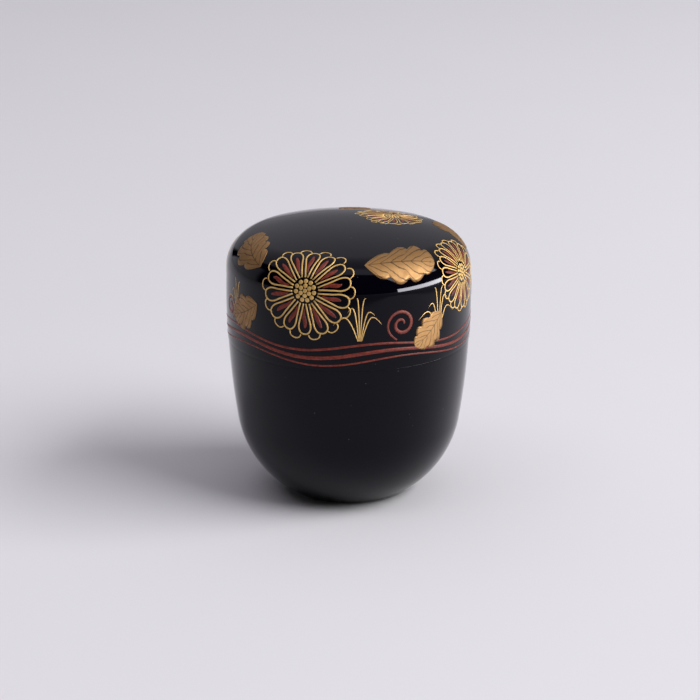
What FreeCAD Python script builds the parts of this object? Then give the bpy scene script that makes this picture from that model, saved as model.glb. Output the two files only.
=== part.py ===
import FreeCAD, Part
import math
import os

import Sketcher
from FreeCAD import Vector

# A tea caddy turned from wood and lacquered black inside and out. The rounded body stands on a
# small foot, and a deep lid slides down over a lip that stands up from the body's mouth.
# Millimetres, +Z up along the turning axis, origin at the middle of the foot's rest plane.

doc = FreeCAD.newDocument("tea_caddy")

# Driving dimensions. Every size is of the finished, lacquered surface.
SIZES = (
    ("caddy_height", 76.0),  # rest plane to the top of the lid
    ("caddy_diameter", 66.6),  # across the widest level, which is on the lid
    ("widest_level", 54.2),  # height of the widest level
    ("joint_level", 43.8),  # height of the line where the lid meets the body
    ("belly_radius", 219.0),  # upright curve of the sides
    ("shoulder_radius", 9.8),  # turn from the lid's side to its top
    ("crown_radius", 100.0),  # slight dome of the lid's top
    ("bowl_radius", 28.8),  # turn from the body's side to its foot
    ("foot_diameter", 32.0),  # outside of the rest plane
    ("foot_ring_width", 4.0),  # rest ring around the underside's recess
    ("foot_recess", 0.6),  # depth of that recess
    ("foot_round", 0.5),  # softened edge of the foot
    ("lacquer", 0.4),  # all coats of lacquer together, on every face
    ("joint_step", 0.12),  # how far the lid stands proud of the body at the joint
    ("joint_round", 0.15),  # softened edges along the joint
    ("body_wall", 3.2),  # side of the body
    ("floor_thickness", 3.6),  # bottom of the body
    ("well_round", 8.0),  # turn from the inside wall to the inside floor
    ("lip_height", 9.0),  # how far the lip stands above the joint
    ("lip_thickness", 1.4),  # wall of the lip
    ("lip_root", 5.0),  # how far below the joint the wall starts to thicken into the lip
    ("lip_round", 0.35),  # softened top of the lip
    ("lid_wall", 2.2),  # side of the lid at the widest level
    ("lid_clearance", 0.08),  # sliding fit of the lid on the lip, on the radius
    ("crown_thickness", 2.6),  # top of the lid
    ("inner_shoulder", 7.5),  # turn from the lid's inside wall to its ceiling
    ("mouth_round", 0.25),  # softened inside edge of the lid's mouth
    ("lining_gap", 0.04),  # between the lid's inside coat and its core
)

sheet = doc.addObject("Spreadsheet::Sheet", "Sizes")
for row, (alias, number) in enumerate(SIZES, start=1):
    sheet.set(f"A{row}", alias)
    sheet.set(f"B{row}", str(number))
    sheet.setAlias(f"B{row}", alias)
doc.recompute()


class Measure:
    """A length together with the rule that works it out from the sheet."""

    def __init__(self, number, rule):
        self.number = number
        self.rule = rule

    def __add__(self, other):
        return Measure(self.number + other.number, f"({self.rule} + {other.rule})")

    def __sub__(self, other):
        return Measure(self.number - other.number, f"({self.rule} - {other.rule})")

    def half(self):
        return Measure(self.number / 2, f"({self.rule} / 2)")


def size(alias):
    return Measure(float(sheet.get(alias)), f"Sizes.{alias}")


# Levels and radii that several pieces share.
rest_plane = Measure(0.0, "0")
lacquer = size("lacquer")
caddy_radius = size("caddy_diameter").half()
foot_radius = size("foot_diameter").half()
joint_level = size("joint_level")
lip_top = joint_level + size("lip_height")
lid_bore = caddy_radius - size("lid_wall")
lip_outside = lid_bore - size("lid_clearance")
lip_inside = lip_outside - size("lip_thickness")
lip_root_level = joint_level - size("lip_root")
floor_level = size("floor_thickness")
ring_inside = foot_radius - size("foot_ring_width")
recess_level = size("foot_recess")
lid_side = size("belly_radius")
body_side = lid_side - size("joint_step")
bowl = size("bowl_radius")
shoulder = size("shoulder_radius")
crown = size("crown_radius")
ceiling = crown - size("crown_thickness")
ceiling_level = size("caddy_height") - size("crown_thickness")
# The lid's inside coat is thinner by the gap that lets the rest of the lid turn on it.
lining = lacquer - size("lining_gap")


def circle_crossings(centre_a, radius_a, centre_b, radius_b):
    """The two points that lie on both circles."""
    apart = centre_b - centre_a
    along = (apart.Length**2 + radius_a**2 - radius_b**2) / (2 * apart.Length)
    aside = math.sqrt(radius_a**2 - along**2)
    forward = apart / apart.Length
    left = Vector(-forward.y, forward.x, 0)
    middle = centre_a + forward * along
    return middle + left * aside, middle - left * aside


def towards(centre, radius, target):
    """The point of a circle in the direction of a target."""
    return centre + (target - centre).normalize() * radius


def at_level(centre, radius, level):
    """The right-hand point of a circle at a level."""
    return Vector(centre.x + math.sqrt(radius**2 - (level - centre.y) ** 2), level, 0)


# Centres of the section's arcs. The shoulder touches the side and the crown from inside, and the
# bowl touches the body's side from inside and runs through the edge of the foot.
side_centre = Vector((caddy_radius - lid_side).number, size("widest_level").number, 0)
crown_centre = Vector(0, (size("caddy_height") - crown).number, 0)
foot_edge = Vector(foot_radius.number, 0, 0)
shoulder_centre = max(
    circle_crossings(
        side_centre, (lid_side - shoulder).number, crown_centre, (crown - shoulder).number
    ),
    key=lambda point: point.x,
)
bowl_centre = max(
    circle_crossings(side_centre, (body_side - bowl).number, foot_edge, bowl.number),
    key=lambda point: point.y,
)


def centre_of(arc):
    """The place of an arc's centre in its sketch: the arc's number and its third point."""
    return arc, 3


def from_origin(place):
    """The places of a sketch's origin and of another point, to measure between them."""
    return -1, 1, *place


class Section:
    """Half section of one turned piece: a closed run of lines and arcs in a sketch of its own."""

    def __init__(self, label):
        self.label = label
        self.body = doc.addObject("PartDesign::Body", label)
        self.body.Label = label
        self.body.Placement = FreeCAD.Placement()
        self.sketch = self.body.newObject("Sketcher::SketchObject", label + "_section")
        plane = next(item for item in self.body.Origin.OriginFeatures if item.Role == "XZ_Plane")
        self.sketch.AttachmentSupport = [(plane, "")]
        self.sketch.MapMode = "FlatFace"
        self.end = None
        self.first = None

    def tie(self, kind, *places):
        self.sketch.addConstraint(Sketcher.Constraint(kind, *places))

    def drive(self, kind, places, measure):
        index = self.sketch.addConstraint(Sketcher.Constraint(kind, *places, measure.number))
        self.sketch.setExpression(f"Constraints[{index}]", measure.rule)

    def pin_level(self, place, level):
        """Sets a point's height; the rest plane is the sketch's own level axis, -1."""
        if level is rest_plane:
            self.tie("PointOnObject", *place, -1)
        else:
            self.drive("DistanceY", from_origin(place), level)

    def pin_radius(self, place, radius):
        """Sets a point's radius; None puts it on the turning axis, the sketch's own axis -2."""
        if radius is None:
            self.tie("PointOnObject", *place, -2)
        else:
            self.drive("DistanceX", from_origin(place), radius)

    def arc(self, centre, radius, start, end):
        """An arc of under half a turn; returns its number and its two ends in the given order."""
        first = math.atan2(start.y - centre.y, start.x - centre.x)
        last = math.atan2(end.y - centre.y, end.x - centre.x)
        circle = Part.Circle(centre, Vector(0, 0, 1), radius)
        if (last - first) % (2 * math.pi) < math.pi:
            index = self.sketch.addGeometry(Part.ArcOfCircle(circle, first, last))
            return index, (index, 1), (index, 2)
        index = self.sketch.addGeometry(Part.ArcOfCircle(circle, last, first))
        return index, (index, 2), (index, 1)

    def point_of(self, place):
        return self.sketch.getPoint(*place)

    def line(self, start, end):
        index = self.sketch.addGeometry(Part.LineSegment(start, end))
        return (index, 1), (index, 2)

    def spoke(self, arc_index, end_point, length):
        """A construction line of a given length from an arc's centre to a point."""
        start = self.point_of(centre_of(arc_index))
        index = self.sketch.addGeometry(Part.LineSegment(start, end_point), True)
        self.tie("Coincident", index, 1, *centre_of(arc_index))
        self.drive("Distance", (index, 1, index, 2), length)
        return index, 2

    def pin_side_centre(self, place):
        """Sets the centre of the upright curve, which lies beyond the turning axis."""
        self.drive("DistanceX", from_origin(place), caddy_radius - lid_side)
        self.drive("DistanceY", from_origin(place), size("widest_level"))

    def pin_foot_edge(self, place):
        self.pin_radius(place, foot_radius)
        self.pin_level(place, rest_plane)

    def to(self, radius, level):
        """A straight run to a corner; a radius of None is on the turning axis."""
        corner = Vector(0 if radius is None else radius.number, level.number, 0)
        if self.first is None:
            self.first = corner, radius, level
            return
        if self.end is None:
            start, end = self.line(self.first[0], corner)
            self.pin_radius(start, self.first[1])
            self.pin_level(start, self.first[2])
            self.first = start
        else:
            start, end = self.line(self.point_of(self.end), corner)
            self.tie("Coincident", *self.end, *start)
        self.pin_radius(end, radius)
        self.pin_level(end, level)
        self.end = end

    def along(self, curve, reverse=False):
        """A run along a curve that is already drawn, with a straight run to where it starts."""
        near, far = reversed(curve) if reverse else curve
        if self.first is None:
            self.first = near
        elif self.end is None:
            start, end = self.line(self.first[0], self.point_of(near))
            self.pin_radius(start, self.first[1])
            self.pin_level(start, self.first[2])
            self.tie("Coincident", *end, *near)
            self.first = start
        else:
            start, end = self.line(self.point_of(self.end), self.point_of(near))
            self.tie("Coincident", *self.end, *start)
            self.tie("Coincident", *end, *near)
        self.end = far

    def turn(self):
        """Closes the outline and turns it about the axis into a solid."""
        start, end = self.line(self.point_of(self.end), self.point_of(self.first))
        self.tie("Coincident", *self.end, *start)
        self.tie("Coincident", *end, *self.first)
        solid = self.body.newObject("PartDesign::Revolution", self.label + "_turned")
        solid.Profile = self.sketch
        solid.ReferenceAxis = (self.sketch, ["V_Axis"])
        solid.Angle = 360
        doc.recompute()
        return solid

    def round_edge(self, base, point, radius):
        """Softens the round edge that runs through a point of the section."""
        fillet = self.body.newObject("PartDesign::Fillet", f"{base.Name}_soft")
        fillet.Base = (base, [edge_through(base.Shape, point)])
        fillet.setExpression("Radius", radius.rule)
        doc.recompute()
        return fillet


def edge_through(shape, point):
    """Name of the circular edge about the turning axis that runs through a point of the section."""
    closeness = 1e-4
    for index, edge in enumerate(shape.Edges, start=1):
        if not isinstance(edge.Curve, Part.Circle):
            continue
        off = abs(edge.Curve.Radius - point.x) + abs(edge.Curve.Center.z - point.y)
        if off < closeness:
            return f"Edge{index}"
    raise RuntimeError(f"no round edge at radius {point.x:.3f}, level {point.y:.3f}")


def side_curve(section, face, inset, low, high):
    """Piece of the upright side between two levels, inset from its finished face."""
    radius = face - inset
    start = at_level(side_centre, radius.number, low.number)
    end = at_level(side_centre, radius.number, high.number)
    arc, low_end, high_end = section.arc(side_centre, radius.number, start, end)
    section.pin_side_centre(centre_of(arc))
    section.drive("Radius", (arc,), radius)
    section.pin_level(low_end, low)
    section.pin_level(high_end, high)
    return low_end, high_end


def bowl_piece(section, inset, low, high):
    """Piece of the bowl between two levels, inset from its finished face."""
    radius = bowl - inset
    start = at_level(bowl_centre, radius.number, low.number)
    end = at_level(bowl_centre, radius.number, high.number)
    arc, low_end, high_end = section.arc(bowl_centre, radius.number, start, end)
    section.pin_foot_edge(section.spoke(arc, foot_edge, bowl))
    section.pin_side_centre(section.spoke(arc, side_centre, body_side - bowl))
    section.drive("Radius", (arc,), radius)
    section.pin_level(low_end, low)
    section.pin_level(high_end, high)
    return low_end, high_end


def body_arcs(section, inset, low_point, high):
    """Bowl and side of the body up to a level, inset from the finished outside."""
    bowl_face = bowl - inset
    side_face = body_side - inset
    touch = towards(side_centre, side_face.number, bowl_centre)
    top = at_level(side_centre, side_face.number, high.number)
    bowl_arc, low_end, bowl_end = section.arc(bowl_centre, bowl_face.number, low_point, touch)
    side_arc, side_end, high_end = section.arc(side_centre, side_face.number, touch, top)
    section.tie("Tangent", *bowl_end, *side_end)
    section.pin_foot_edge(section.spoke(bowl_arc, foot_edge, bowl))
    section.pin_side_centre(centre_of(side_arc))
    section.drive("Radius", (bowl_arc,), bowl_face)
    section.drive("Radius", (side_arc,), side_face)
    section.pin_level(high_end, high)
    return low_end, high_end


def body_outside(section, inset, low, high):
    """Outside of the body from a level near its foot up to the joint."""
    low_point = at_level(bowl_centre, (bowl - inset).number, low.number)
    low_end, high_end = body_arcs(section, inset, low_point, high)
    section.pin_level(low_end, low)
    return low_end, high_end


def body_inside(section, growth):
    """Inside of the body from its floor up to the lip's root, set back by a growth into the wall."""
    inset = size("body_wall") - growth
    floor = floor_level - growth
    well = size("well_round") + growth
    reach = (bowl - inset).number - well.number
    well_centre = at_level(bowl_centre, reach, floor.number + well.number)
    touch = towards(bowl_centre, (bowl - inset).number, well_centre)
    floor_point = Vector(well_centre.x, floor.number, 0)
    low_end, high_end = body_arcs(section, inset, touch, lip_root_level)
    well_arc, floor_end, wall_end = section.arc(well_centre, well.number, floor_point, touch)
    section.tie("Tangent", *wall_end, *low_end)
    section.tie("Vertical", *centre_of(well_arc), *floor_end)
    section.drive("Radius", (well_arc,), well)
    section.pin_level(floor_end, floor)
    return floor_end, high_end


def lid_outside(section, inset, low):
    """Side, shoulder and crown of the lid from a level up to the axis, inset from its finished face."""
    side_face = lid_side - inset
    shoulder_face = shoulder - inset
    crown_face = crown - inset
    start = at_level(side_centre, side_face.number, low.number)
    side_touch = towards(side_centre, side_face.number, shoulder_centre)
    crown_touch = towards(crown_centre, crown_face.number, shoulder_centre)
    top = crown_centre + Vector(0, crown_face.number, 0)
    side_arc, low_end, side_end = section.arc(side_centre, side_face.number, start, side_touch)
    turn_arc, turn_low, turn_high = section.arc(
        shoulder_centre, shoulder_face.number, side_touch, crown_touch
    )
    crown_arc, crown_end, top_end = section.arc(crown_centre, crown_face.number, crown_touch, top)
    section.tie("Tangent", *side_end, *turn_low)
    section.tie("Tangent", *turn_high, *crown_end)
    section.pin_side_centre(centre_of(side_arc))
    section.drive("Radius", (side_arc,), side_face)
    section.drive("Radius", (turn_arc,), shoulder_face)
    section.drive("Radius", (crown_arc,), crown_face)
    section.pin_radius(centre_of(crown_arc), None)
    section.pin_radius(top_end, None)
    section.pin_level(top_end, size("caddy_height") - inset)
    section.pin_level(low_end, low)
    return low_end, top_end


def lid_inside(section, growth, low):
    """Bore and ceiling of the lid from a level up to the axis, set back by a growth into the wall."""
    bore = lid_bore + growth
    turn_face = size("inner_shoulder") + growth
    ceiling_face = ceiling + growth
    turn_x = bore.number - turn_face.number
    reach = ceiling_face.number - turn_face.number
    turn_centre = Vector(turn_x, crown_centre.y + math.sqrt(reach**2 - turn_x**2), 0)
    wall_top = turn_centre + Vector(turn_face.number, 0, 0)
    ceiling_touch = towards(crown_centre, ceiling_face.number, turn_centre)
    top = crown_centre + Vector(0, ceiling_face.number, 0)
    low_end, wall_end = section.line(Vector(bore.number, low.number, 0), wall_top)
    turn_arc, turn_low, turn_high = section.arc(
        turn_centre, turn_face.number, wall_top, ceiling_touch
    )
    ceiling_arc, ceiling_end, top_end = section.arc(
        crown_centre, ceiling_face.number, ceiling_touch, top
    )
    section.tie("Vertical", low_end[0])
    section.tie("Tangent", *wall_end, *turn_low)
    section.tie("Tangent", *turn_high, *ceiling_end)
    section.drive("Radius", (turn_arc,), turn_face)
    section.drive("Radius", (ceiling_arc,), ceiling_face)
    section.pin_radius(centre_of(ceiling_arc), None)
    section.pin_radius(top_end, None)
    section.pin_level(top_end, ceiling_level + growth)
    section.pin_radius(low_end, bore)
    section.pin_level(low_end, low)
    return low_end, top_end


def make_body_core():
    """Turned wooden cup with the lip in one piece, bare of lacquer."""
    section = Section("body_core")
    section.to(None, recess_level + lacquer)
    section.to(ring_inside + lacquer, recess_level + lacquer)
    section.to(ring_inside + lacquer, lacquer)
    section.along(body_outside(section, lacquer, lacquer, joint_level - lacquer))
    section.to(lip_outside - lacquer, joint_level - lacquer)
    section.to(lip_outside - lacquer, lip_top - lacquer)
    section.to(lip_inside + lacquer, lip_top - lacquer)
    section.to(lip_inside + lacquer, joint_level)
    section.along(body_inside(section, lacquer), reverse=True)
    section.to(None, floor_level - lacquer)
    section.turn()
    return section.body


def make_body_outer_lacquer():
    """Coat on the body's outside, from the joint down to the rest plane."""
    section = Section("body_outer_lacquer")
    bare = Measure(0.0, "0")
    section.along(body_outside(section, bare, rest_plane, joint_level))
    section.along(body_outside(section, lacquer, rest_plane, joint_level), reverse=True)
    solid = section.turn()
    joint_edge = at_level(side_centre, body_side.number, joint_level.number)
    solid = section.round_edge(solid, joint_edge, size("joint_round"))
    section.round_edge(solid, foot_edge, size("foot_round"))
    return section.body


def make_body_inner_lacquer():
    """Coat inside the body, over the lip and on the ledge that the lid rests on."""
    section = Section("body_inner_lacquer")
    bare = Measure(0.0, "0")
    section.to(None, floor_level)
    section.along(body_inside(section, bare))
    section.to(lip_inside, joint_level)
    section.to(lip_inside, lip_top)
    section.to(lip_outside, lip_top)
    section.to(lip_outside, joint_level)
    ledge_edge = side_curve(section, body_side, lacquer, joint_level - lacquer, joint_level)
    section.along(ledge_edge, reverse=True)
    section.to(lip_outside - lacquer, joint_level - lacquer)
    section.to(lip_outside - lacquer, lip_top - lacquer)
    section.to(lip_inside + lacquer, lip_top - lacquer)
    section.to(lip_inside + lacquer, joint_level)
    section.along(body_inside(section, lacquer), reverse=True)
    section.to(None, floor_level - lacquer)
    solid = section.turn()
    for edge in (lip_inside, lip_outside):
        corner = Vector(edge.number, lip_top.number, 0)
        solid = section.round_edge(solid, corner, size("lip_round"))
    return section.body


def make_foot_lacquer():
    """Coat on the underside: the rest ring and the shallow recess inside it."""
    section = Section("foot_lacquer")
    section.to(None, recess_level)
    section.to(ring_inside, recess_level)
    section.to(ring_inside, rest_plane)
    section.along(bowl_piece(section, lacquer, rest_plane, lacquer))
    section.to(ring_inside + lacquer, lacquer)
    section.to(ring_inside + lacquer, recess_level + lacquer)
    section.to(None, recess_level + lacquer)
    section.turn()
    return section.body


def make_lid_core():
    """Turned wooden lid, bare of lacquer."""
    section = Section("lid_core")
    rim = joint_level + lacquer
    section.along(lid_outside(section, lacquer, rim))
    section.along(lid_inside(section, lacquer, rim), reverse=True)
    section.turn()
    return section.body


def make_lid_outer_lacquer():
    """Coat on the lid's outside, from the joint over the shoulder and the crown."""
    section = Section("lid_outer_lacquer")
    bare = Measure(0.0, "0")
    section.along(lid_outside(section, bare, joint_level))
    section.along(lid_outside(section, lacquer, joint_level), reverse=True)
    solid = section.turn()
    joint_edge = at_level(side_centre, lid_side.number, joint_level.number)
    section.round_edge(solid, joint_edge, size("joint_round"))
    return section.body


def make_lid_inner_lacquer():
    """Coat inside the lid and under its rim, which slides on the lip."""
    section = Section("lid_inner_lacquer")
    bare = Measure(0.0, "0")
    rim = joint_level + lining
    section.along(lid_inside(section, bare, joint_level))
    section.along(lid_inside(section, lining, rim), reverse=True)
    rim_edge = side_curve(section, lid_side, lacquer + size("lining_gap"), joint_level, rim)
    section.along(rim_edge, reverse=True)
    solid = section.turn()
    mouth_edge = Vector(lid_bore.number, joint_level.number, 0)
    section.round_edge(solid, mouth_edge, size("mouth_round"))
    return section.body


pieces = (
    make_body_core(),
    make_body_outer_lacquer(),
    make_body_inner_lacquer(),
    make_foot_lacquer(),
    make_lid_core(),
    make_lid_outer_lacquer(),
    make_lid_inner_lacquer(),
)
doc.recompute()

for item in doc.Objects:
    if "Invalid" in item.State or "Error" in item.State:
        raise RuntimeError(f"{item.Label} failed: {item.State}")
for piece in pieces:
    if piece.Shape.isNull() or not piece.Shape.isValid() or len(piece.Shape.Solids) != 1:
        raise RuntimeError(f"{piece.Label} is not one valid solid")

os.makedirs("parts", exist_ok=True)
for piece in pieces:
    piece.Shape.exportStep(f"parts/{piece.Label}.step")
    box = piece.Shape.BoundBox
    print(f"{piece.Label}: {piece.Shape.Volume:.1f} mm3, levels {box.ZMin:.2f} to {box.ZMax:.2f}")
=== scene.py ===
import math
import random

import bmesh
import bpy
import numpy as np
from mathutils import Matrix, Vector


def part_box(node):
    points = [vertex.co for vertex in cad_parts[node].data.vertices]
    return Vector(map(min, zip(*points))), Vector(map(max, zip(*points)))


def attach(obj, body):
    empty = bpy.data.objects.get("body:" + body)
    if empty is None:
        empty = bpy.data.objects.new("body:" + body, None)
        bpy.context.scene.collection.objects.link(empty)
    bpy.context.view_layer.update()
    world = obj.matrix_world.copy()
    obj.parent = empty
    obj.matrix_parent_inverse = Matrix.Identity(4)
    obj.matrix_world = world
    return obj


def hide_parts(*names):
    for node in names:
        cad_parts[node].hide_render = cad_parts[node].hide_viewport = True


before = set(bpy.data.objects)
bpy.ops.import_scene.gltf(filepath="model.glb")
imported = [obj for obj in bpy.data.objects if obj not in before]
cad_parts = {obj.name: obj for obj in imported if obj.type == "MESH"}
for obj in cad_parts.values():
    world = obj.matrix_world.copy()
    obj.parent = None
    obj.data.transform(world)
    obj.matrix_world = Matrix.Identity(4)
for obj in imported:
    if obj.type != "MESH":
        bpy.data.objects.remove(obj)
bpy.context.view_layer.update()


# Wooden cores of the body and the lid, each turned on a lathe from one block of close-grained wood.
# Lacquer covers them on every side, so the bare wood shows nowhere on the finished caddy.
MM = 0.001


def add_node(tree, kind, inputs=None, **settings):
    """A shader node with its settings, and inputs that are plain values or the sockets that feed them."""
    node = tree.nodes.new(kind)
    for name, value in settings.items():
        setattr(node, name, value)
    for name, value in (inputs or {}).items():
        if isinstance(value, bpy.types.NodeSocket):
            tree.links.new(value, node.inputs[name])
        else:
            node.inputs[name].default_value = value
    return node


def new_material(name):
    """An empty material, its node tree, its Object coordinates and the socket that takes its shader."""
    material = bpy.data.materials.new(name)
    material.use_nodes = True
    tree = material.node_tree
    tree.nodes.clear()
    place = add_node(tree, "ShaderNodeTexCoord").outputs["Object"]
    surface = add_node(tree, "ShaderNodeOutputMaterial").inputs["Surface"]
    return material, tree, place, surface


def make_turned_wood():
    """Pale close-grained wood: growth rings stretched along the block, with fine pores."""
    material, tree, place, surface = new_material("turned_wood")
    block = add_node(tree, "ShaderNodeMapping", {"Vector": place, "Scale": (1.0, 0.35, 0.12)})
    rings = add_node(
        tree,
        "ShaderNodeTexWave",
        {"Vector": block.outputs["Vector"], "Scale": 160.0, "Distortion": 5.0, "Detail": 3.0},
        bands_direction="X",
    )
    pores = add_node(
        tree, "ShaderNodeTexNoise", {"Vector": block.outputs["Vector"], "Scale": 2600.0, "Detail": 4.0}
    )
    colour = add_node(tree, "ShaderNodeValToRGB", {"Fac": rings.outputs["Fac"]})
    colour.color_ramp.elements[0].color = (0.46, 0.31, 0.18, 1.0)
    colour.color_ramp.elements[1].color = (0.60, 0.44, 0.28, 1.0)
    roughness = add_node(
        tree,
        "ShaderNodeMapRange",
        {"Value": pores.outputs["Fac"], "To Min": 0.5, "To Max": 0.75},
    )
    bump = add_node(
        tree,
        "ShaderNodeBump",
        {"Height": pores.outputs["Fac"], "Strength": 0.3, "Distance": 0.05 * MM},
    )
    shader = add_node(
        tree,
        "ShaderNodeBsdfPrincipled",
        {
            "Base Color": colour.outputs["Color"],
            "Roughness": roughness.outputs["Result"],
            "Normal": bump.outputs["Normal"],
        },
    )
    tree.links.new(shader.outputs["BSDF"], surface)
    return material


turned_wood = make_turned_wood()
for core in ("body_core", "lid_core"):
    for material_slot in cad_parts[core].material_slots:
        material_slot.material = turned_wood


# Outside coat of the body: many thin coats of black lacquer, rubbed down and polished to a mirror.
# It runs from the fine joint line under the lid, round the bowl, to the edge of the small foot.
lid_low, lid_high = (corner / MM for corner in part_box("lid_outer_lacquer"))
caddy_radius = lid_high.x
caddy_height = lid_high.z
joint_level = lid_low.z
widest_level = 54.2
belly_radius = 219.0
joint_step = 0.12
joint_round = 0.06
bowl_radius = 28.8
foot_radius = 16.0
foot_round = 0.5
lacquer = 0.4
arc_step_degrees = 2.0
arc_step_length = 1.0
turn_steps = 192
weld_distance = 0.001
edge_reach = 0.01
sharp_angle = math.radians(40)
dust_density = 250.0
dust_speck = 0.02
dust_fade = 0.035
dust_colour = (0.1, 0.1, 0.105, 1.0)
body_side = belly_radius - joint_step
side_centre = Vector((caddy_radius - belly_radius, widest_level))
foot_edge = Vector((foot_radius, 0.0))


def circle_crossings(centre_a, radius_a, centre_b, radius_b):
    """The two points that lie on both circles."""
    apart = centre_b - centre_a
    along = (apart.length_squared + radius_a**2 - radius_b**2) / (2 * apart.length)
    aside = math.sqrt(radius_a**2 - along**2)
    forward = apart.normalized()
    middle = centre_a + forward * along
    return middle + forward.orthogonal() * aside, middle - forward.orthogonal() * aside


def towards(centre, radius, target):
    """The point of a circle in the direction of a target."""
    return centre + (target - centre).normalized() * radius


def at_level(centre, radius, level):
    """The outer point of a circle at a level."""
    return Vector((centre.x + math.sqrt(radius**2 - (level - centre.y) ** 2), level))


def draw_arc(bm, centre, start, end):
    """Edges along an arc of the half section, in short steps; returns its two ends."""
    turn = -(start - centre).angle_signed(end - centre)
    length = abs(turn) * (start - centre).length
    steps = math.ceil(max(math.degrees(abs(turn)) / arc_step_degrees, length / arc_step_length))
    first = bm.verts.new((start.x, 0.0, start.y))
    run = bmesh.ops.spin(
        bm, geom=[first], cent=(centre.x, 0.0, centre.y), axis=(0, -1, 0), angle=turn, steps=steps
    )
    return first, run["geom_last"][0]


def turn_piece(name, runs, rounds, material):
    """Turns a closed half section about the axis and softens its round edges.

    A run is a corner (radius, level) or an arc (centre, start, end); a round is (corner, size)."""
    bm = bmesh.new()
    ends = []
    for run in runs:
        if len(run) == 3:
            ends.append(draw_arc(bm, *run))
        else:
            corner = bm.verts.new((run[0], 0.0, run[1]))
            ends.append((corner, corner))
    for (_, end), (start, _) in zip(ends, ends[1:] + ends[:1]):
        bm.edges.new((end, start))
    bmesh.ops.remove_doubles(bm, verts=bm.verts[:], dist=weld_distance)
    bmesh.ops.spin(
        bm,
        geom=bm.verts[:] + bm.edges[:],
        cent=(0, 0, 0),
        axis=(0, 0, 1),
        angle=math.tau,
        steps=turn_steps,
        use_merge=True,
    )
    bmesh.ops.remove_doubles(bm, verts=bm.verts[:], dist=weld_distance)
    bmesh.ops.recalc_face_normals(bm, faces=bm.faces[:])
    for corner, radius in rounds:
        ring = [
            edge
            for edge in bm.edges
            if all(
                math.hypot(math.hypot(v.co.x, v.co.y) - corner[0], v.co.z - corner[1]) < edge_reach
                for v in edge.verts
            )
        ]
        bmesh.ops.bevel(
            bm,
            geom=ring,
            offset=radius,
            affect="EDGES",
            segments=4,
            profile=0.5,
            material=-1,
            clamp_overlap=True,
        )
    bmesh.ops.scale(bm, vec=(MM, MM, MM), verts=bm.verts[:])
    mesh = bpy.data.meshes.new(name)
    bm.to_mesh(mesh)
    bm.free()
    mesh.shade_smooth()
    mesh.set_sharp_from_angle(angle=sharp_angle)
    mesh.materials.append(material)
    piece = bpy.data.objects.new(name, mesh)
    bpy.context.scene.collection.objects.link(piece)
    return piece


def make_black_lacquer():
    """Black lacquer under a high polish: faint waviness, soft polishing haze and a little dust."""
    material, tree, place, surface = new_material("black_lacquer")
    haze = add_node(tree, "ShaderNodeTexNoise", {"Vector": place, "Scale": 120.0, "Detail": 3.0})
    roughness = add_node(
        tree,
        "ShaderNodeMapRange",
        {"Value": haze.outputs["Fac"], "From Min": 0.3, "From Max": 0.7, "To Min": 0.03, "To Max": 0.07},
    )
    colour = add_node(tree, "ShaderNodeValToRGB", {"Fac": haze.outputs["Fac"]})
    colour.color_ramp.elements[0].color = (0.0008, 0.0007, 0.0026, 1.0)
    colour.color_ramp.elements[1].color = (0.0016, 0.0014, 0.0038, 1.0)
    dust = add_node(tree, "ShaderNodeTexVoronoi", {"Vector": place, "Scale": dust_density})
    speck = add_node(
        tree,
        "ShaderNodeMapRange",
        {"Value": dust.outputs["Distance"], "From Min": dust_fade, "From Max": dust_speck},
    )
    dusty = add_node(
        tree,
        "ShaderNodeMix",
        {"Factor": speck.outputs["Result"], "A": colour.outputs["Color"], "B": dust_colour},
        data_type="RGBA",
    )
    wave = add_node(tree, "ShaderNodeTexNoise", {"Vector": place, "Scale": 55.0, "Detail": 1.0})
    bump = add_node(
        tree,
        "ShaderNodeBump",
        {"Height": wave.outputs["Fac"], "Strength": 0.2, "Distance": 0.02 * MM},
    )
    shader = add_node(
        tree,
        "ShaderNodeBsdfPrincipled",
        {
            "Base Color": dusty.outputs["Result"],
            "Roughness": roughness.outputs["Result"],
            "Normal": bump.outputs["Normal"],
            "IOR": 1.38,
            "Specular Tint": (0.46, 0.45, 0.50, 1.0),
        },
    )
    tree.links.new(shader.outputs["BSDF"], surface)
    return material


def body_arcs(inset, low, high):
    """Bowl and side of the body between two levels, inset from the finished outside."""
    bowl_face = bowl_radius - inset
    side_face = body_side - inset
    touch = towards(side_centre, side_face, bowl_centre)
    start = at_level(bowl_centre, bowl_face, low)
    end = at_level(side_centre, side_face, high)
    return [(bowl_centre, start, touch), (side_centre, touch, end)]


def backwards(arcs):
    """The same arcs drawn from the far end."""
    return [(centre, end, start) for centre, start, end in reversed(arcs)]


bowl_centre = max(
    circle_crossings(side_centre, body_side - bowl_radius, foot_edge, bowl_radius),
    key=lambda point: point.y,
)
black_lacquer = make_black_lacquer()
body_joint_edge = at_level(side_centre, body_side, joint_level)
body_outside = turn_piece(
    "body_outside_coat",
    body_arcs(0.0, 0.0, joint_level) + backwards(body_arcs(lacquer, 0.0, joint_level)),
    [(body_joint_edge, joint_round), (foot_edge, foot_round)],
    black_lacquer,
)
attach(body_outside, "caddy_body")
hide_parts("body_outer_lacquer")


# Inside coat of the body: the same black lacquer over the tea well, up the lip that carries the lid,
# and on the narrow ledge that the lid's rim rests on.
body_wall = 3.2
floor_level = 3.6
well_round = 8.0
lid_wall = 2.2
lid_clearance = 0.08
lip_thickness = 1.4
lip_height = 9.0
lip_root = 5.0
lip_round = 0.35
lid_bore = caddy_radius - lid_wall
lip_outside = lid_bore - lid_clearance
lip_inside = lip_outside - lip_thickness
lip_top = joint_level + lip_height


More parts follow.
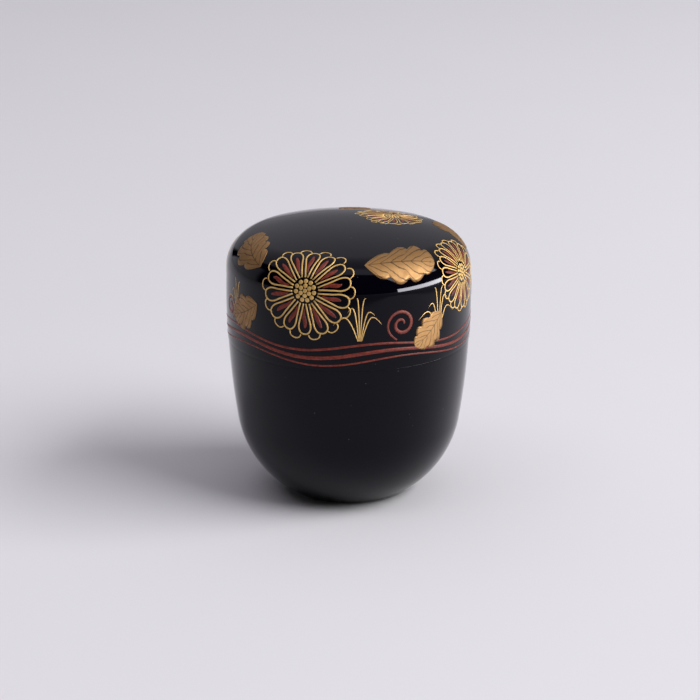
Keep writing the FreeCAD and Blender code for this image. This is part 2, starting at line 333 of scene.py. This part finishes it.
def well_arcs(growth):
    """Inside of the body from its floor up to the root of the lip, set back by a growth into the wall."""
    inset = body_wall - growth
    well = well_round + growth
    floor = floor_level - growth
    bowl_face = bowl_radius - inset
    side_face = body_side - inset
    well_centre = at_level(bowl_centre, bowl_face - well, floor + well)
    floor_touch = Vector((well_centre.x, floor))
    bowl_touch = towards(bowl_centre, bowl_face, well_centre)
    side_touch = towards(side_centre, side_face, bowl_centre)
    root = at_level(side_centre, side_face, joint_level - lip_root)
    return [
        (well_centre, floor_touch, bowl_touch),
        (bowl_centre, bowl_touch, side_touch),
        (side_centre, side_touch, root),
    ]


ledge_edge = at_level(side_centre, body_side - lacquer, joint_level)
body_inside = turn_piece(
    "body_inside_coat",
    [(0.0, floor_level)]
    + well_arcs(0.0)
    + [
        (lip_inside, joint_level),
        (lip_inside, lip_top),
        (lip_outside, lip_top),
        (lip_outside, joint_level),
        ledge_edge,
        at_level(side_centre, body_side - lacquer, joint_level - lacquer),
        (lip_outside - lacquer, joint_level - lacquer),
        (lip_outside - lacquer, lip_top - lacquer),
        (lip_inside + lacquer, lip_top - lacquer),
        (lip_inside + lacquer, joint_level),
    ]
    + backwards(well_arcs(lacquer))
    + [(0.0, floor_level - lacquer)],
    [((lip_inside, lip_top), lip_round), ((lip_outside, lip_top), lip_round)],
    black_lacquer,
)
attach(body_inside, "caddy_body")
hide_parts("body_inner_lacquer")


# Coat on the underside of the foot: a narrow rest ring round a shallow recess, lacquered black too.
# The ring alone touches the table.
foot_ring_width = 4.0
foot_recess = 0.6
ring_inside = foot_radius - foot_ring_width
foot_low = at_level(bowl_centre, bowl_radius - lacquer, 0.0)
foot_high = at_level(bowl_centre, bowl_radius - lacquer, lacquer)
foot_coat = turn_piece(
    "foot_coat",
    [
        (0.0, foot_recess),
        (ring_inside, foot_recess),
        (ring_inside, 0.0),
        (bowl_centre, foot_low, foot_high),
        (ring_inside + lacquer, lacquer),
        (ring_inside + lacquer, foot_recess + lacquer),
        (0.0, foot_recess + lacquer),
    ],
    [],
    black_lacquer,
)
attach(foot_coat, "caddy_body")
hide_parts("foot_lacquer")


# Outside coat of the lid: the polished black ground of the decoration, from the joint line up the
# side, over the round shoulder and across the slightly domed top.
shoulder_radius = 9.8
crown_radius = 100.0
crown_centre = Vector((0.0, caddy_height - crown_radius))
shoulder_centre = max(
    circle_crossings(
        side_centre, belly_radius - shoulder_radius, crown_centre, crown_radius - shoulder_radius
    ),
    key=lambda point: point.x,
)


def lid_arcs(inset):
    """Side, shoulder and crown of the lid from the joint to the axis, inset from the finished face."""
    side_face = belly_radius - inset
    start = at_level(side_centre, side_face, joint_level)
    side_touch = towards(side_centre, side_face, shoulder_centre)
    crown_touch = towards(crown_centre, crown_radius - inset, shoulder_centre)
    top = Vector((0.0, caddy_height - inset))
    return [
        (side_centre, start, side_touch),
        (shoulder_centre, side_touch, crown_touch),
        (crown_centre, crown_touch, top),
    ]


lid_joint_edge = at_level(side_centre, belly_radius, joint_level)
lid_outside = turn_piece(
    "lid_outside_coat",
    lid_arcs(0.0) + backwards(lid_arcs(lacquer)),
    [(lid_joint_edge, joint_round)],
    black_lacquer,
)
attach(lid_outside, "lid")
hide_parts("lid_outer_lacquer")


# Inside coat of the lid: black lacquer in the bore that slides over the lip, on the rim that meets
# the ledge, and across the shallow ceiling.
crown_thickness = 2.6
inner_shoulder = 7.5
mouth_round = 0.25
lining_gap = 0.04
lining = lacquer - lining_gap


def lining_arcs(growth):
    """Turn and ceiling of the lid's inside from the top of the bore to the axis, set back by a growth."""
    turn_radius = inner_shoulder + growth
    ceiling_radius = crown_radius - crown_thickness + growth
    turn_x = lid_bore - inner_shoulder
    rise = math.sqrt((ceiling_radius - turn_radius) ** 2 - turn_x**2)
    turn_centre = Vector((turn_x, crown_centre.y + rise))
    bore_top = Vector((turn_x + turn_radius, turn_centre.y))
    ceiling_touch = towards(crown_centre, ceiling_radius, turn_centre)
    top = Vector((0.0, crown_centre.y + ceiling_radius))
    return [(turn_centre, bore_top, ceiling_touch), (crown_centre, ceiling_touch, top)]


rim_level = joint_level + lining
rim_face = belly_radius - lacquer - lining_gap
lid_lining = turn_piece(
    "lid_inside_coat",
    [(lid_bore, joint_level)]
    + lining_arcs(0.0)
    + backwards(lining_arcs(lining))
    + [
        (lid_bore + lining, rim_level),
        at_level(side_centre, rim_face, rim_level),
        at_level(side_centre, rim_face, joint_level),
    ],
    [((lid_bore, joint_level), mouth_round)],
    black_lacquer,
)
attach(lid_lining, "lid_lining")
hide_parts("lid_inner_lacquer")


# Chrysanthemum blooms on the lid: each petal is a fine raised line of wet lacquer dusted with gold, with
# a brushed mark of red lacquer inside it, round a heart of gold dots.
line_height = 0.06
line_sink = 0.05
line_weld = 0.0005
petal_line = 0.42
top_petal_line = 0.28
petal_count = 14
# Points of a petal's line and of the tip behind it: shares of half a petal aside and of the radius out.
petal_half = ((0.42, 1.02), (0.84, 0.86), (0.66, 0.62), (0.40, 0.30))
tip_half = ((0.48, 1.10), (0.60, 0.99))
# Shares of the radius: a red mark's width, a heart dot's radius, and after its count each ring's reach.
mark_share = 0.104
heart_dot = 0.05
heart_rings = ((1, 0.0), (6, 0.11), (11, 0.21))
shoulder_tilt = math.atan2(shoulder_centre.x, shoulder_centre.y - crown_centre.y)
side_tilt = math.atan2(shoulder_centre.x - side_centre.x, shoulder_centre.y - side_centre.y)
crown_run = crown_radius * shoulder_tilt
shoulder_run = crown_run + shoulder_radius * (side_tilt - shoulder_tilt)
brush_hand = random.Random(7)


def lay_on_lid(flat, bearing, travel):
    """Lays flat points (right, up, height) in millimetres on the lid's face round a place on it.

    Bearing is the place's angle from the front to the right, travel its way from the top along the face."""
    right, up, height = flat.T
    way = travel - up
    on_crown = way < crown_run
    on_shoulder = way < shoulder_run
    tilt = np.select(
        [on_crown, on_shoulder],
        [way / crown_radius, shoulder_tilt + (way - crown_run) / shoulder_radius],
        side_tilt + (way - shoulder_run) / belly_radius,
    )
    bend = np.select([on_crown, on_shoulder], [crown_radius, shoulder_radius], belly_radius)
    centre_x = np.select([on_crown, on_shoulder], [crown_centre.x, shoulder_centre.x], side_centre.x)
    centre_z = np.select([on_crown, on_shoulder], [crown_centre.y, shoulder_centre.y], side_centre.y)
    face_radius = centre_x + bend * np.sin(tilt)
    angle = math.radians(bearing) + right / face_radius
    reach = face_radius + height * np.sin(tilt)
    level = centre_z + (bend + height) * np.cos(tilt)
    return np.stack([reach * np.sin(angle), -reach * np.cos(angle), level], axis=1) * MM


def draw_strokes(strokes, width):
    """A flat mesh of brush strokes along smooth lines, each a list of (right, up, share of the width)."""
    curve = bpy.data.curves.new("strokes", "CURVE")
    curve.dimensions = "3D"
    curve.bevel_depth = width / 2
    curve.bevel_resolution = 1
    curve.use_fill_caps = True
    for stroke in strokes:
        spline = curve.splines.new("NURBS")
        spline.points.add(len(stroke) - 1)
        for point, (right, up, share) in zip(spline.points, stroke):
            point.co = (right, up, 0.0, 1.0)
            point.radius = share
        spline.order_u = 3
        spline.resolution_u = 6
        spline.use_endpoint_u = True
    holder = bpy.data.objects.new("strokes", curve)
    round_strokes = bpy.data.meshes.new_from_object(holder)
    bm = bmesh.new()
    bm.from_mesh(round_strokes)
    bpy.data.objects.remove(holder)
    bpy.data.curves.remove(curve)
    bpy.data.meshes.remove(round_strokes)
    flatten = (line_height + line_sink) / width
    bmesh.ops.scale(bm, vec=(1.0, 1.0, flatten), verts=bm.verts[:])
    bmesh.ops.translate(bm, vec=(0.0, 0.0, (line_height - line_sink) / 2), verts=bm.verts[:])
    return bm


def finish_on_lid(name, bm, bearing, travel, material, turn=0.0):
    """Turns a flat mesh in its plane, lays it on the lid and makes it a piece that rides there."""
    in_plane = Matrix.Rotation(math.radians(turn), 3, "Z")
    bmesh.ops.rotate(bm, cent=(0, 0, 0), matrix=in_plane, verts=bm.verts[:])
    bmesh.ops.remove_doubles(bm, verts=bm.verts[:], dist=line_weld)
    bmesh.ops.recalc_face_normals(bm, faces=bm.faces[:])
    flat = np.array([v.co for v in bm.verts])
    for v, place in zip(bm.verts, lay_on_lid(flat, bearing, travel)):
        v.co = place
    bmesh.ops.recalc_face_normals(bm, faces=bm.faces[:])
    mesh = bpy.data.meshes.new(name)
    bm.to_mesh(mesh)
    bm.free()
    mesh.shade_smooth()
    mesh.materials.append(material)
    piece = bpy.data.objects.new(name, mesh)
    bpy.context.scene.collection.objects.link(piece)
    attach(piece, "lid")


def make_powder_grain():
    """Group: gold powder settled in lacquer, as its colour, its roughness and its relief."""
    group = bpy.data.node_groups.new("powder_grain", "ShaderNodeTree")
    for name, kind in (("Place", "Vector"), ("Light Gold", "Color"), ("Dark Gold", "Color")):
        group.interface.new_socket(name, in_out="INPUT", socket_type="NodeSocket" + kind)
    for name, kind in (("Colour", "Color"), ("Roughness", "Float"), ("Relief", "Float")):
        group.interface.new_socket(name, in_out="OUTPUT", socket_type="NodeSocket" + kind)
    given = add_node(group, "NodeGroupInput").outputs
    grain = add_node(group, "ShaderNodeTexVoronoi", {"Vector": given["Place"], "Scale": 9000.0})
    drift = add_node(group, "ShaderNodeTexNoise", {"Vector": given["Place"], "Scale": 420.0, "Detail": 5.0})
    blend = add_node(
        group,
        "ShaderNodeMath",
        {0: grain.outputs["Distance"], 1: 0.45, 2: drift.outputs["Fac"]},
        operation="MULTIPLY_ADD",
    )
    spread = add_node(
        group, "ShaderNodeMapRange", {"Value": blend.outputs["Value"], "From Min": 0.4, "From Max": 1.0}
    )
    colour = add_node(
        group,
        "ShaderNodeMix",
        {"Factor": spread.outputs["Result"], "A": given["Dark Gold"], "B": given["Light Gold"]},
        data_type="RGBA",
    )
    roughness = add_node(
        group,
        "ShaderNodeMapRange",
        {"Value": blend.outputs["Value"], "From Min": 0.4, "From Max": 1.0, "To Min": 0.6, "To Max": 0.42},
    )
    add_node(
        group,
        "NodeGroupOutput",
        {
            "Colour": colour.outputs["Result"],
            "Roughness": roughness.outputs["Result"],
            "Relief": blend.outputs["Value"],
        },
    )
    return group


def make_gold_line():
    """Raised lines and dots of gold, burnished a little brighter than the broad leaves."""
    material, tree, place, surface = new_material("gold_line")
    grain = add_node(tree, "ShaderNodeGroup", node_tree=powder_grain)
    tree.links.new(place, grain.inputs["Place"])
    grain.inputs["Light Gold"].default_value = (0.90, 0.60, 0.21, 1.0)
    grain.inputs["Dark Gold"].default_value = (0.64, 0.38, 0.11, 1.0)
    bump = add_node(
        tree,
        "ShaderNodeBump",
        {"Height": grain.outputs["Relief"], "Strength": 0.25, "Distance": 0.02 * MM},
    )
    shader = add_node(
        tree,
        "ShaderNodeBsdfPrincipled",
        {
            "Base Color": grain.outputs["Colour"],
            "Roughness": grain.outputs["Roughness"],
            "Normal": bump.outputs["Normal"],
            "Metallic": 0.4,
        },
    )
    tree.links.new(shader.outputs["BSDF"], surface)
    return material


def make_red_lacquer():
    """Red lacquer put on with a brush: streaks of thicker and thinner colour, half dry at the edges."""
    material, tree, place, surface = new_material("red_lacquer")
    streak = add_node(tree, "ShaderNodeTexNoise", {"Vector": place, "Scale": 1500.0, "Detail": 4.0})
    colour = add_node(tree, "ShaderNodeValToRGB", {"Fac": streak.outputs["Fac"]})
    colour.color_ramp.elements[0].position = 0.3
    colour.color_ramp.elements[0].color = (0.13, 0.016, 0.010, 1.0)
    colour.color_ramp.elements[1].position = 0.7
    colour.color_ramp.elements[1].color = (0.29, 0.046, 0.025, 1.0)
    roughness = add_node(
        tree, "ShaderNodeMapRange", {"Value": streak.outputs["Fac"], "To Min": 0.5, "To Max": 0.3}
    )
    bump = add_node(
        tree,
        "ShaderNodeBump",
        {"Height": streak.outputs["Fac"], "Strength": 0.4, "Distance": 0.02 * MM},
    )
    shader = add_node(
        tree,
        "ShaderNodeBsdfPrincipled",
        {
            "Base Color": colour.outputs["Color"],
            "Roughness": roughness.outputs["Result"],
            "Normal": bump.outputs["Normal"],
            "IOR": 1.35,
        },
    )
    tree.links.new(shader.outputs["BSDF"], surface)
    return material


def ray(turn, reach, share=1.0):
    """A stroke point at a turn from straight up and a reach from the bloom's middle."""
    return (reach * math.sin(turn), reach * math.cos(turn), share)


def both_sides(half):
    """A line's points from its left end to its right end, from those of its right half."""
    return [(-aside, out) for aside, out in reversed(half)] + list(half)


def paint_bloom(name, bearing, travel, radius, line_width):
    """A bloom seen from above: a ring of full petals, tips of a second ring behind, marks and a heart."""
    step = math.tau / petal_count
    petal = both_sides(petal_half)
    tip = both_sides(tip_half)
    lines = []
    marks = []
    for index in range(petal_count):
        turn = index * step
        grow = brush_hand.uniform(0.95, 1.03)
        lines.append([ray(turn + side * step / 2, reach * radius * grow) for side, reach in petal])
        lines.append([ray(turn + (1 + side) * step / 2, reach * radius, 0.8) for side, reach in tip])
        lean = brush_hand.uniform(-0.08, 0.08)
        end = brush_hand.uniform(0.76, 0.84)
        marks.append(
            [
                ray(turn, 0.40 * radius, 0.25),
                ray(turn + lean, 0.52 * radius, 0.6),
                ray(turn, 0.66 * radius, 1.0),
                ray(turn - lean * step, end * radius, 0.7),
                ray(turn, (end + 0.05) * radius, 0.3),
            ]
        )
    petals = draw_strokes(lines, line_width)
    finish_on_lid(name + "_petals", petals, bearing, travel, gold_line)
    brushed = draw_strokes(marks, mark_share * radius)
    finish_on_lid(name + "_marks", brushed, bearing, travel, red_lacquer)
    dot_radius = heart_dot * radius
    heart = bmesh.new()
    for count, ring in heart_rings:
        for index in range(count):
            right, up, _ = ray(index * math.tau / count, ring * radius)
            dot = bmesh.ops.create_icosphere(heart, subdivisions=2, radius=dot_radius)["verts"]
            bmesh.ops.scale(heart, vec=(1.0, 1.0, line_height / dot_radius), verts=dot)
            bmesh.ops.translate(heart, vec=(right, up, 0.0), verts=dot)
    finish_on_lid(name + "_heart", heart, bearing, travel, gold_line)


powder_grain = make_powder_grain()
gold_line = make_gold_line()
red_lacquer = make_red_lacquer()
paint_bloom("front_bloom", bearing=-20.0, travel=37.0, radius=12.0, line_width=petal_line)
paint_bloom("right_bloom", bearing=66.0, travel=37.0, radius=9.5, line_width=petal_line)
paint_bloom("left_bloom", bearing=-103.0, travel=40.0, radius=7.5, line_width=petal_line)
paint_bloom("top_bloom", bearing=118.0, travel=13.5, radius=8.0, line_width=top_petal_line)


# Leaves round the blooms: broad lobed patches of gold powder, laid solid and burnished, with the veins
# scratched through the powder by a fine point.
leaf_lobes = 4.0
leaf_curl = 0.06
leaf_vein_pairs = 7.0
vein_slant = 0.5
vein_wobble = 0.35
side_vein_gap = 0.16
vein_core = 0.006
vein_edge = 0.017
vein_colour = (0.085, 0.042, 0.016, 1.0)
# Bearing, travel, turn, length and width of each leaf.
leaves = (
    (8.0, 29.5, -6.0, 21.0, 12.0),
    (-47.0, 33.0, 150.0, 17.0, 11.0),
    (-46.0, 43.0, 205.0, 13.0, 9.0),
    (47.0, 45.0, 222.0, 12.0, 8.5),
    (86.0, 33.0, 28.0, 14.0, 9.5),
    (86.0, 43.0, -30.0, 12.0, 8.5),
    (-119.0, 38.0, 165.0, 12.0, 8.5),
    (160.0, 17.0, -25.0, 10.0, 7.5),
)


def reckon(tree, operation, first, second=0.0):
    """A value worked out from one or two others, each a plain number or the socket that gives it."""
    node = add_node(tree, "ShaderNodeMath", {0: first, 1: second}, operation=operation)
    return node.outputs["Value"]


def soft_step(tree, value, start, end):
    """A value's soft step from 0 at the start to 1 at the end."""
    limits = {"Value": value, "From Min": start, "From Max": end}
    node = add_node(tree, "ShaderNodeMapRange", limits, interpolation_type="SMOOTHSTEP")
    return node.outputs["Result"]


def make_gold_leaf():
    """Matt gold powder in a broad patch, with scratched veins that show the dark lacquer under it."""
    material, tree, place, surface = new_material("gold_leaf")
    grain = add_node(tree, "ShaderNodeGroup", node_tree=powder_grain)
    tree.links.new(place, grain.inputs["Place"])
    grain.inputs["Light Gold"].default_value = (0.345, 0.188, 0.064, 1.0)
    grain.inputs["Dark Gold"].default_value = (0.26, 0.134, 0.042, 1.0)
    spot = add_node(tree, "ShaderNodeUVMap", uv_map="leaf")
    parts = add_node(tree, "ShaderNodeSeparateXYZ", {"Vector": spot.outputs["UV"]})
    wobble = add_node(tree, "ShaderNodeTexNoise", {"Vector": place, "Scale": 700.0, "Detail": 2.0})
    aside = reckon(tree, "ABSOLUTE", reckon(tree, "SUBTRACT", parts.outputs["Y"], 0.5))
    slant = reckon(tree, "SUBTRACT", parts.outputs["X"], reckon(tree, "MULTIPLY", aside, vein_slant))
    count = reckon(tree, "MULTIPLY", slant, leaf_vein_pairs)
    count = reckon(tree, "ADD", count, reckon(tree, "MULTIPLY", wobble.outputs["Fac"], vein_wobble))
    between = reckon(tree, "SUBTRACT", reckon(tree, "FRACT", count), 0.5)
    from_side_vein = reckon(tree, "MULTIPLY", reckon(tree, "ABSOLUTE", between), side_vein_gap)
    nearest = reckon(tree, "MINIMUM", from_side_vein, aside)
    off_vein = soft_step(tree, nearest, vein_core, vein_edge)
    colour = add_node(
        tree,
        "ShaderNodeMix",
        {"Factor": off_vein, "A": vein_colour, "B": grain.outputs["Colour"]},
        data_type="RGBA",
    )
    relief = reckon(tree, "MULTIPLY", grain.outputs["Relief"], 0.3)
    relief = reckon(tree, "ADD", relief, off_vein)
    bump = add_node(
        tree, "ShaderNodeBump", {"Height": relief, "Strength": 0.25, "Distance": 0.02 * MM}
    )
    shader = add_node(
        tree,
        "ShaderNodeBsdfPrincipled",
        {
            "Base Color": colour.outputs["Result"],
            "Roughness": grain.outputs["Roughness"],
            "Normal": bump.outputs["Normal"],
            "Metallic": 0.6,
        },
    )
    tree.links.new(shader.outputs["BSDF"], surface)
    return material


def lay_leaf(name, bearing, travel, turn, length, width):
    """A lobed leaf from its stalk end at a place on the lid, pointing a turn round from the right."""
    bm = bmesh.new()
    bmesh.ops.create_grid(bm, x_segments=64, y_segments=10, size=0.5)
    marks = bm.loops.layers.uv.new("leaf")
    for face in bm.faces:
        for loop in face.loops:
            loop[marks].uv = (loop.vert.co.x + 0.5, loop.vert.co.y + 0.5)
    # Fullest before its middle, with round lobes along both edges that sweep towards the tip.
    for v in bm.verts:
        along = v.co.x + 0.5
        across = 2 * v.co.y
        swell = math.sin(math.pi * along**0.8) ** 0.7 if 0.0 < along < 1.0 else 0.0
        lobe = 0.72 + 0.34 * abs(math.sin(math.pi * leaf_lobes * along**0.9)) ** 0.6
        half = width / 2 * swell * lobe
        v.co.x = length * (along + 0.13 * abs(across) * swell)
        v.co.y = half * across + leaf_curl * length * math.sin(math.pi * along)
        v.co.z = line_height * (1.0 - 0.2 * across**2)
    bmesh.ops.remove_doubles(bm, verts=bm.verts[:], dist=line_weld)
    bmesh.ops.recalc_face_normals(bm, faces=bm.faces[:])
    bmesh.ops.solidify(bm, geom=bm.faces[:], thickness=line_height + line_sink)
    finish_on_lid(name, bm, bearing, travel, gold_leaf, turn)


gold_leaf = make_gold_leaf()
for number, (bearing, travel, turn, length, width) in enumerate(leaves, start=1):
    lay_leaf(f"gold_leaf_{number}", bearing, travel, turn, length, width)


# Autumn grasses behind the flowers: long thin blades, each one stroke of a hair brush in lacquer dusted
# with gold, that rise from the water and bend over to both sides.
blade_width = 0.34
blade_shortest = 11.0
blade_tallest = 14.0
blades_in_tuft = 6
blade_spread = 6.5
root_bearings = (5.0, 45.0, -63.0, 103.0)
root_travel = 50.0


def grass_tuft():
    """Blades from one root, the middle ones tall and the outer ones bent far over."""
    blades = []
    for index in range(blades_in_tuft):
        lean = 2 * index / (blades_in_tuft - 1) - 1
        tall = brush_hand.uniform(blade_shortest, blade_tallest) * (1.0 - 0.35 * abs(lean))
        side = blade_spread * lean + brush_hand.uniform(-0.8, 0.8)
        blades.append(
            [
                (0.5 * lean, 0.0, 0.6),
                (0.25 * side, 0.5 * tall, 1.0),
                (0.6 * side, 0.95 * tall, 0.8),
                (side, tall * (1.0 - 0.45 * abs(lean)), 0.2),
            ]
        )
    return blades


for number, bearing in enumerate(root_bearings, start=1):
    tuft = draw_strokes(grass_tuft(), blade_width)
    finish_on_lid(f"grass_{number}", tuft, bearing, root_travel, gold_line)


# Running water under the flowers: three brushed lines of red lacquer round the lid's front and sides,
# thick to thin, with eddies that curl out of them.
stream_width = 1.0
stream_travel = 54.0
stream_half_turn = math.radians(118.0)
stream_points = 40
wave_height = 1.1
wave_rate = 4.6
eddy_points = 21
eddy_turns = 1.7
# Height, shift along the wave and share of the width of each line.
stream_lines = ((0.0, 0.0, 1.0), (2.0, 0.5, 0.65), (-1.9, -0.4, 0.5))
# Place to the right, height, radius and hand of each eddy.
eddies = ((14.2, 7.8, 4.4, 1), (-41.0, 7.0, 3.4, -1), (60.0, 6.5, 3.4, 1))


def stream_line(height, shift, share):
    """One line of the stream, waving as it goes round, thinning to nothing at both ends."""
    line = []
    for index in range(stream_points + 1):
        part = index / stream_points
        angle = stream_half_turn * (2 * part - 1)
        up = height + wave_height * math.sin(wave_rate * angle + shift)
        fade = math.sin(math.pi * part) ** 0.4
        line.append((angle * caddy_radius, up, share * max(fade, 0.15)))
    return line


def eddy(right, up, radius, hand):
    """A curl of water: a stroke that winds out of its eye and runs off to one side."""
    curl = []
    for index in range(eddy_points + 1):
        part = index / eddy_points
        turn = part * eddy_turns * math.tau
        reach = radius * (0.16 + 0.84 * part)
        share = 0.45 + 0.55 * math.sin(math.pi * part)
        curl.append((right + hand * reach * math.cos(turn), up + reach * math.sin(turn), share))
    return curl


water = [stream_line(*line) for line in stream_lines] + [eddy(*curl) for curl in eddies]
stream = draw_strokes(water, stream_width)
finish_on_lid("red_stream", stream, 0.0, stream_travel, red_lacquer)


# Floor: a wide sheet of pale matt paper under the caddy. Past its front and right edges, out of the
# picture, the floor is painted a middle grey as painted shade, and the polished shoulder mirrors it as a
# dark band.
floor_size = 14.0
paper_colour = (0.772, 0.758, 0.787, 1.0)
# Painted shade: the middle grey laid on the floor past the paper's front and right edges.
painted_shade_colour = (0.28, 0.275, 0.285, 1.0)
paper_front = -0.27
paper_right = 0.27
paper_edge = 0.03
paper_mottle = 0.98
painted_shade_reach = 1.6
painted_shade_fade = 0.2


def make_floor_with_painted_shade():
    """Faintly mottled paper, and painted shade in a middle grey past its front and right edges."""
    material, tree, place, surface = new_material("floor_with_painted_shade")
    mottle = add_node(tree, "ShaderNodeTexNoise", {"Vector": place, "Scale": 9.0, "Detail": 4.0})
    paper = add_node(tree, "ShaderNodeValToRGB", {"Fac": mottle.outputs["Fac"]})
    paper.color_ramp.elements[0].color = [paper_mottle * part for part in paper_colour[:3]] + [1.0]
    paper.color_ramp.elements[1].color = paper_colour
    parts = add_node(tree, "ShaderNodeSeparateXYZ", {"Vector": place})
    reach = add_node(tree, "ShaderNodeVectorMath", {0: place}, operation="LENGTH")
    ahead = soft_step(tree, parts.outputs["Y"], paper_front, paper_front - paper_edge)
    aside = soft_step(tree, parts.outputs["X"], paper_right, paper_right + paper_edge)
    near = soft_step(tree, reach.outputs["Value"], painted_shade_reach + painted_shade_fade, painted_shade_reach)
    # Painted shade: grey past the paper's front and right edges, fading back to paper beyond a reach from
    # the caddy.
    in_painted_shade = reckon(tree, "MULTIPLY", reckon(tree, "MAXIMUM", ahead, aside), near)
    colour = add_node(
        tree,
        "ShaderNodeMix",
        {"Factor": in_painted_shade, "A": paper.outputs["Color"], "B": painted_shade_colour},
        data_type="RGBA",
    )
    shader = add_node(
        tree,
        "ShaderNodeBsdfPrincipled",
        {"Base Color": colour.outputs["Result"], "Roughness": 0.9, "Specular IOR Level": 0.1},
    )
    tree.links.new(shader.outputs["BSDF"], surface)
    return material


bm = bmesh.new()
bmesh.ops.create_grid(bm, x_segments=8, y_segments=8, size=floor_size / 2)
floor_mesh = bpy.data.meshes.new("floor")
bm.to_mesh(floor_mesh)
bm.free()
floor_mesh.materials.append(make_floor_with_painted_shade())
floor = bpy.data.objects.new("floor", floor_mesh)
bpy.context.scene.collection.objects.link(floor)


# Studio light: a wide softbox at the right, a low strip light under it that gives the crisp highlight
# on the shoulder, and a room that is pale overhead and behind and dark in front.
light_distance = 2.3
room_tint = (0.985, 0.955, 1.04, 1.0)
# Tilt of the screen's front edge, and the directions square to its left and right edges, into the screen.
screen_front = math.radians(62.0)
screen_left = (0.669, 0.297, 0.681)
screen_right = (-0.669, 0.297, 0.681)
front_edge_glow = 0.8
board_glow = 0.45
# Height of a direction and the screen's brightness there.
screen_levels = ((0.2, 0.31), (0.6, 0.47), (0.72, 0.52), (0.9, 0.58))


def add_softbox(name, azimuth, elevation, width, height, radiance):
    """A panel of even light that faces the caddy. Azimuth 0 is in front of it and 90 at its right."""
    side = math.radians(azimuth)
    up = math.radians(elevation)
    towards_light = Vector(
        (math.sin(side) * math.cos(up), -math.cos(side) * math.cos(up), math.sin(up))
    )
    light = bpy.data.lights.new(name, "AREA")
    light.shape = "RECTANGLE"
    light.size = width
    light.size_y = height
    light.energy = radiance * math.pi * width * height
    lamp = bpy.data.objects.new(name, light)
    lamp.location = towards_light * light_distance
    lamp.rotation_euler = towards_light.to_track_quat("Z", "Y").to_euler()
    bpy.context.scene.collection.objects.link(lamp)
    return lamp


add_softbox("key_softbox", azimuth=72.0, elevation=41.0, width=1.94, height=1.06, radiance=7.85)
low_strip = add_softbox(
    "low_strip", azimuth=70.0, elevation=4.4, width=2.1, height=0.36, radiance=36.0
)
# The strip is there for the polish alone. On the paper it would light up the dark line under the foot.
low_strip.visible_diffuse = False


def make_room():
    """The room's light by direction, bounded by straight edges as a screen and a board are."""
    world = bpy.data.worlds.new("room")
    world.use_nodes = True
    tree = world.node_tree
    tree.nodes.clear()
    direction = add_node(tree, "ShaderNodeTexCoord").outputs["Generated"]

    def beyond(edge, start, end):
        """A soft step across a straight edge, from 0 at the start to 1 at the end."""
        past = add_node(tree, "ShaderNodeVectorMath", {0: direction, 1: edge}, operation="DOT_PRODUCT")
        return soft_step(tree, past.outputs["Value"], start, end)

    # A screen overhead and behind, brightest along its front edge and dim low behind.
    front_edge = (0.0, math.sin(screen_front), math.cos(screen_front))
    screen = reckon(
        tree, "MULTIPLY", beyond(front_edge, -0.04, 0.04), beyond(screen_left, -0.03, 0.03)
    )
    screen = reckon(tree, "MULTIPLY", screen, beyond(screen_right, -0.15, 0.08))
    height = add_node(tree, "ShaderNodeSeparateXYZ", {"Vector": direction}).outputs["Z"]
    levels = add_node(tree, "ShaderNodeValToRGB", {"Fac": height})
    for position, level in screen_levels:
        stop = levels.color_ramp.elements.new(position)
        stop.color = (level, level, level, 1.0)
    levels.color_ramp.elements.remove(levels.color_ramp.elements[0])
    levels.color_ramp.elements.remove(levels.color_ramp.elements[-1])
    front_glow = reckon(tree, "MULTIPLY", beyond(front_edge, 0.42, 0.22), front_edge_glow)
    brightness = reckon(tree, "ADD", levels.outputs["Color"], front_glow)
    screen = reckon(tree, "MULTIPLY", screen, brightness)
    # A pale board that stands at the left behind.
    board_edge = [-part for part in screen_left]
    behind = (0.0, 1.0, 0.0)
    down = (0.0, 0.0, -1.0)
    board = reckon(tree, "MULTIPLY", beyond(board_edge, 0.10, 0.14), beyond(behind, 0.0, 0.15))
    board = reckon(tree, "MULTIPLY", board, beyond(down, -0.5, -0.42))
    board = reckon(tree, "MULTIPLY", board, board_glow)
    strength = reckon(tree, "ADD", screen, board)
    light = add_node(tree, "ShaderNodeBackground", {"Color": room_tint, "Strength": strength})
    output = add_node(tree, "ShaderNodeOutputWorld")
    tree.links.new(light.outputs["Background"], output.inputs["Surface"])
    return world


bpy.context.scene.world = make_room()


# Camera at the photograph's angle: a long lens, a little above the caddy and straight in front of it.
# Its place and its lens come from a fit to the caddy's outline and joint line.
image_width = 700
sensor_width = 36.0
focal_pixels = 2182.0
camera_elevation = math.radians(18.3)
camera_distance = 599.4 * MM
look_at = Vector((0.37, 0.0, 38.8)) * MM
camera_data = bpy.data.cameras.new("camera")
camera_data.sensor_width = sensor_width
camera_data.lens = focal_pixels * sensor_width / image_width
camera = bpy.data.objects.new("camera", camera_data)
camera_back = Vector((0.0, -math.cos(camera_elevation), math.sin(camera_elevation)))
camera.location = look_at + camera_back * camera_distance
camera.rotation_euler = camera_back.to_track_quat("Z", "Y").to_euler()
bpy.context.scene.collection.objects.link(camera)
bpy.context.scene.camera = camera
bpy.context.scene.view_settings.view_transform = "Standard"
